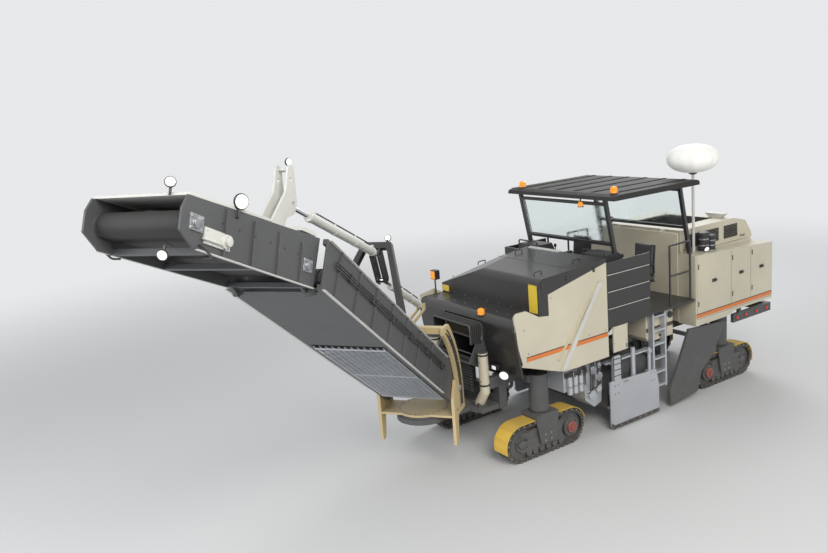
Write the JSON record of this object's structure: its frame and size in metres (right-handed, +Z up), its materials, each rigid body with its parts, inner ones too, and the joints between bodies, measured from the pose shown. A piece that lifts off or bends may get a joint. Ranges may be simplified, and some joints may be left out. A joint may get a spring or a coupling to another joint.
{
  "type": "cold planer milling machine",
  "caption": "Road milling machine on steered crawlers, with a milling drum under an open roofed platform and a slewing, lifting and folding discharge conveyor.",
  "frame": {"origin": "on the ground under the middle of the whole outline, conveyor slewed to the left", "axes": "+X towards the machine's front, +Y to its left, +Z up"},
  "size_m": [12.4581, 5.1828, 5.1204],
  "materials": {
    "grey_paint": "satin",
    "black_paint": "satin",
    "cream_paint": "satin",
    "rubber": "matte",
    "steel": "worn",
    "plastic": "matte",
    "seat_cover": "matte",
    "clear_glass": "clear",
    "lamp_cloth": "matte",
    "lamp_glass": "clear",
    "amber_lens": "clear",
    "chrome": "polished",
    "track_steel": "worn",
    "yellow_paint": "satin"
  },
  "bodies": {
    "chassis": {"frame": "grey_paint", "axle_boxes": "grey_paint", "tongue": "grey_paint", "body_supports": "grey_paint", "front_hood": "black_paint", "side_panels": "cream_paint", "primary_conveyor": "grey_paint", "transfer_bellows": "rubber", "drum_housing": "grey_paint", "side_shields": "grey_paint", "service_units": "steel", "deck_tanks": "cream_paint", "platform": "black_paint", "railings": "black_paint", "consoles": "plastic", "seats": "seat_cover", "ladders": "grey_paint", "engine_bay": "cream_paint", "engine": "steel", "lockers": "cream_paint", "radiator": "grey_paint", "air_cleaners": "plastic", "roof": "grey_paint", "roof_posts": "black_paint", "windscreens": "clear_glass", "light_mast": "steel", "balloon_light": "lamp_cloth", "work_lamps": "lamp_glass", "beacons": "amber_lens"},
    "engine_hood": {"engine_hood": "cream_paint"},
    "milling_drum": {"milling_drum": "steel"},
    "side_plate_left": {"side_plate_left": "steel", "side_rod_left": "chrome"},
    "side_plate_right": {"side_plate_right": "steel", "side_rod_right": "chrome"},
    "slew_head": {"slew_head": "grey_paint"},
    "conveyor_lower": {"lower_frame": "grey_paint", "lower_belt": "rubber", "underside_guard": "steel", "tower": "black_paint"},
    "conveyor_upper": {"upper_frame": "grey_paint", "upper_belt": "rubber", "head_cover": "cream_paint", "fold_arm": "cream_paint"},
    "lift_barrel": {"lift_barrel": "cream_paint"},
    "lift_rod": {"lift_rod": "chrome"},
    "fold_barrel": {"fold_barrel": "cream_paint"},
    "fold_rod": {"fold_rod": "chrome"},
    "crawler_fl": {"track_fl": "track_steel", "crawler_frame_fl": "grey_paint", "fender_fl": "yellow_paint"},
    "crawler_fr": {"track_fr": "track_steel", "crawler_frame_fr": "grey_paint", "fender_fr": "yellow_paint"},
    "crawler_rl": {"track_rl": "track_steel", "crawler_frame_rl": "grey_paint", "fender_rl": "yellow_paint"},
    "crawler_rr": {"track_rr": "track_steel", "crawler_frame_rr": "grey_paint", "fender_rr": "yellow_paint"}
  },
  "joints": [
    {"name": "steer_front_left", "type": "hinge", "parent": "chassis", "child": "crawler_fl", "pos_m": [-0.49834, -0.37782, 0.6], "axis": [0, 0, 1], "range_deg": [-15, 15]},
    {"name": "steer_front_right", "type": "hinge", "parent": "chassis", "child": "crawler_fr", "pos_m": [-0.49834, -2.25782, 0.6], "axis": [0, 0, 1], "range_deg": [-15, 15]},
    {"name": "steer_rear_left", "type": "hinge", "parent": "chassis", "child": "crawler_rl", "pos_m": [-4.99034, -0.37782, 0.6], "axis": [0, 0, 1], "range_deg": [-15, 15]},
    {"name": "steer_rear_right", "type": "hinge", "parent": "chassis", "child": "crawler_rr", "pos_m": [-4.99034, -2.25782, 0.6], "axis": [0, 0, 1], "range_deg": [-15, 15]},
    {"name": "drum_spin", "type": "hinge", "parent": "chassis", "child": "milling_drum", "pos_m": [-2.47334, -1.31782, 0.59], "axis": [0, 1, 0], "continuous": true},
    {"name": "side_plate_left_lift", "type": "slide", "parent": "chassis", "child": "side_plate_left", "axis": [0, 0, 1], "range_m": [0, 0.3]},
    {"name": "side_plate_right_lift", "type": "slide", "parent": "chassis", "child": "side_plate_right", "axis": [0, 0, 1], "range_m": [0, 0.3]},
    {"name": "engine_hood_hinge", "type": "hinge", "parent": "chassis", "child": "engine_hood", "pos_m": [-4.02134, -1.31782, 2.975], "axis": [0, 1, 0], "range_deg": [0, 50]},
    {"name": "conveyor_slew", "type": "hinge", "parent": "chassis", "child": "slew_head", "pos_m": [1.07666, -1.31782, 0.8], "axis": [0, 0, 1], "range_deg": [-95.8, 24.2]},
    {"name": "conveyor_lift", "type": "hinge", "parent": "slew_head", "child": "conveyor_lower", "pos_m": [1.07666, -1.31782, 1.3], "axis": [0.585, -0.8111, 0], "range_deg": [-14, 4]},
    {"name": "conveyor_fold", "type": "hinge", "parent": "conveyor_lower", "child": "conveyor_upper", "pos_m": [4.31498, 1.01774, 3.81767], "axis": [-0.585, 0.8111, 0], "range_deg": [0, 65]},
    {"name": "lift_barrel_swing", "type": "hinge", "parent": "slew_head", "child": "lift_barrel", "pos_m": [0.86578, -1.46991, 2.51], "axis": [0.585, -0.8111, 0], "range_deg": [-16.37, 4.68]},
    {"name": "lift_rod_stroke", "type": "slide", "parent": "lift_barrel", "child": "lift_rod", "axis": [0.711, 0.5128, 0.4812], "range_m": [-0.08656, 0.30172]},
    {"name": "fold_barrel_swing", "type": "hinge", "parent": "conveyor_lower", "child": "fold_barrel", "pos_m": [2.08891, -0.58776, 3.66533], "axis": [0.585, -0.8111, 0], "range_deg": [-8.17, 0.01]},
    {"name": "fold_rod_stroke", "type": "slide", "parent": "fold_barrel", "child": "fold_rod", "axis": [0.7376, 0.532, 0.4158], "range_m": [-0.0005, 1.0252]}
  ],
  "couplings": [
    {"joint": "steer_front_right", "follows": "steer_front_left", "ratio": 1},
    {"joint": "steer_rear_right", "follows": "steer_rear_left", "ratio": 1},
    {"joint": "lift_barrel_swing", "follows": "conveyor_lift", "ratio": 1.1458},
    {"joint": "lift_rod_stroke", "follows": "conveyor_lift", "m_per_rad": -1.2086},
    {"joint": "fold_barrel_swing", "follows": "conveyor_fold", "ratio": -0.12312},
    {"joint": "fold_rod_stroke", "follows": "conveyor_fold", "m_per_rad": 0.88554}
  ]
}
